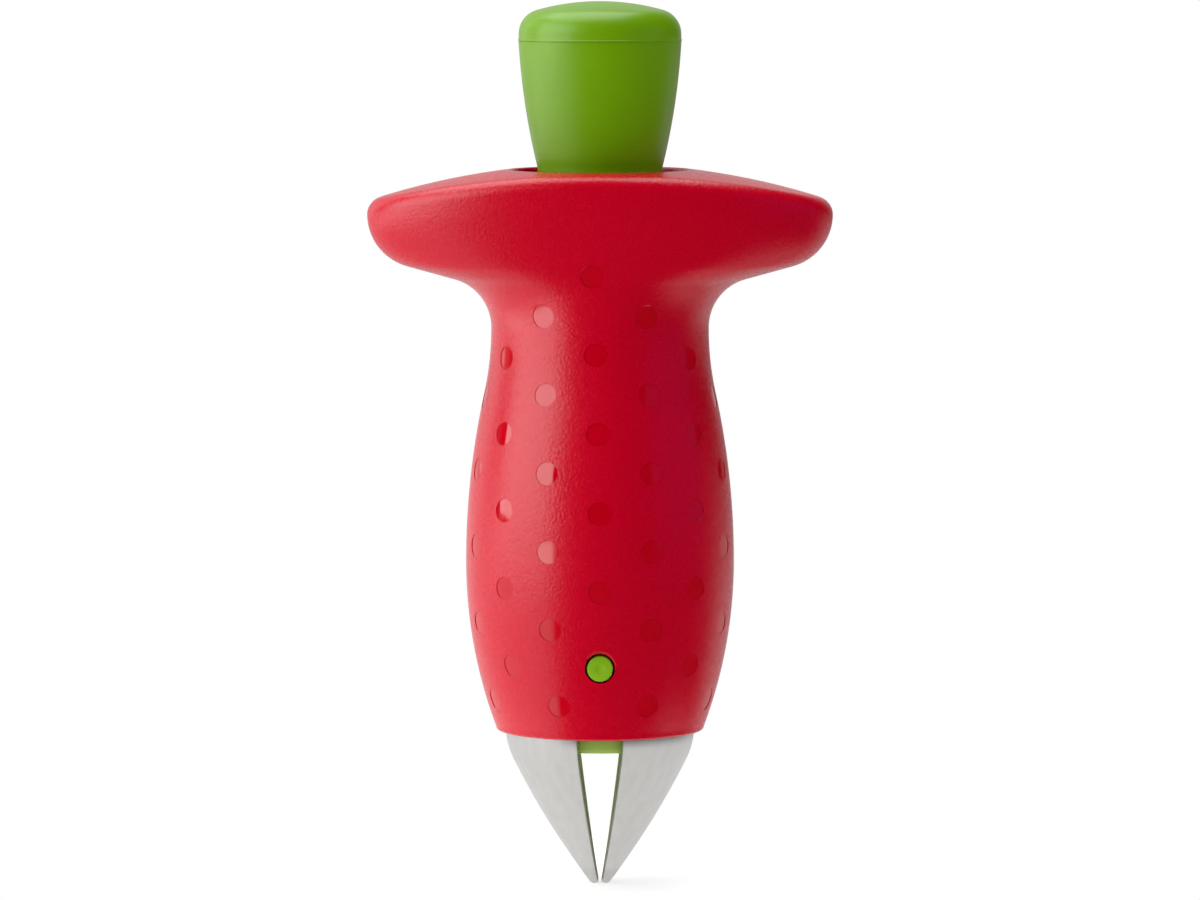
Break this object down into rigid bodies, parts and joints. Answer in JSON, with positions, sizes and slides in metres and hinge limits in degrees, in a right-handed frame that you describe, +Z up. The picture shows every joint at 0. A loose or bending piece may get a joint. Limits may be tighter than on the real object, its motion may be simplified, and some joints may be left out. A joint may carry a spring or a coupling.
{
  "type": "strawberry huller",
  "caption": "Hand-held strawberry huller: barrel grip with finger wings, a push button on top and a pointed claw of curved steel blades that opens as the button is pressed.",
  "frame": {"origin": "on the tool's axis, level with the tips of the closed claw", "axes": "+Z up along the axis towards the button, +X along the finger wings, -Y towards the front"},
  "size_m": [0.0602, 0.0346, 0.1143],
  "materials": {
    "handle_plastic": "fine matte grain with smooth glossy dots",
    "green_plastic": "satin moulded",
    "natural_plastic": "natural moulded",
    "blade_steel": "satin stainless",
    "lever_steel": "stamped",
    "pin_steel": "ground",
    "spring_steel": "drawn wire"
  },
  "bodies": {
    "handle": {"handle_shell": "handle_plastic", "claw_carrier": "green_plastic", "guide_cap": "green_plastic", "retaining_pin_front": "green_plastic", "retaining_pin_rear": "green_plastic", "pivot_pin_1": "pin_steel", "pivot_pin_2": "pin_steel", "pivot_pin_3": "pin_steel", "pivot_pin_4": "pin_steel", "return_spring": "spring_steel"},
    "plunger": {"button": "green_plastic", "plunger_rod": "natural_plastic"},
    "claw_1": {"claw_blade_1": "blade_steel", "claw_lever_1": "lever_steel", "follower_pin_1": "pin_steel"},
    "claw_2": {"claw_blade_2": "blade_steel", "claw_lever_2": "lever_steel", "follower_pin_2": "pin_steel"},
    "claw_3": {"claw_blade_3": "blade_steel", "claw_lever_3": "lever_steel", "follower_pin_3": "pin_steel"},
    "claw_4": {"claw_blade_4": "blade_steel", "claw_lever_4": "lever_steel", "follower_pin_4": "pin_steel"}
  },
  "joints": [
    {"name": "button_press", "type": "slide", "parent": "handle", "child": "plunger", "axis": [0, 0, -1], "range_m": [0, 0.008], "stiffness_N_per_m": 1200, "springref_m": -0.006, "deforming": ["return_spring"]},
    {"name": "claw_swing_1", "type": "hinge", "parent": "handle", "child": "claw_1", "pos_m": [0.00679, -0.00679, 0.0196], "axis": [-0.7071, -0.7071, 0], "range_deg": [0, 23]},
    {"name": "claw_swing_2", "type": "hinge", "parent": "handle", "child": "claw_2", "pos_m": [0.00679, 0.00679, 0.0196], "axis": [0.7071, -0.7071, 0], "range_deg": [0, 23]},
    {"name": "claw_swing_3", "type": "hinge", "parent": "handle", "child": "claw_3", "pos_m": [-0.00679, 0.00679, 0.0196], "axis": [0.7071, 0.7071, 0], "range_deg": [0, 23]},
    {"name": "claw_swing_4", "type": "hinge", "parent": "handle", "child": "claw_4", "pos_m": [-0.00679, -0.00679, 0.0196], "axis": [-0.7071, 0.7071, 0], "range_deg": [0, 23]}
  ],
  "couplings": [
    {"joint": "claw_swing_1", "follows": "button_press", "rad_per_m": 45.81},
    {"joint": "claw_swing_2", "follows": "button_press", "rad_per_m": 45.81},
    {"joint": "claw_swing_3", "follows": "button_press", "rad_per_m": 45.81},
    {"joint": "claw_swing_4", "follows": "button_press", "rad_per_m": 45.81}
  ]
}
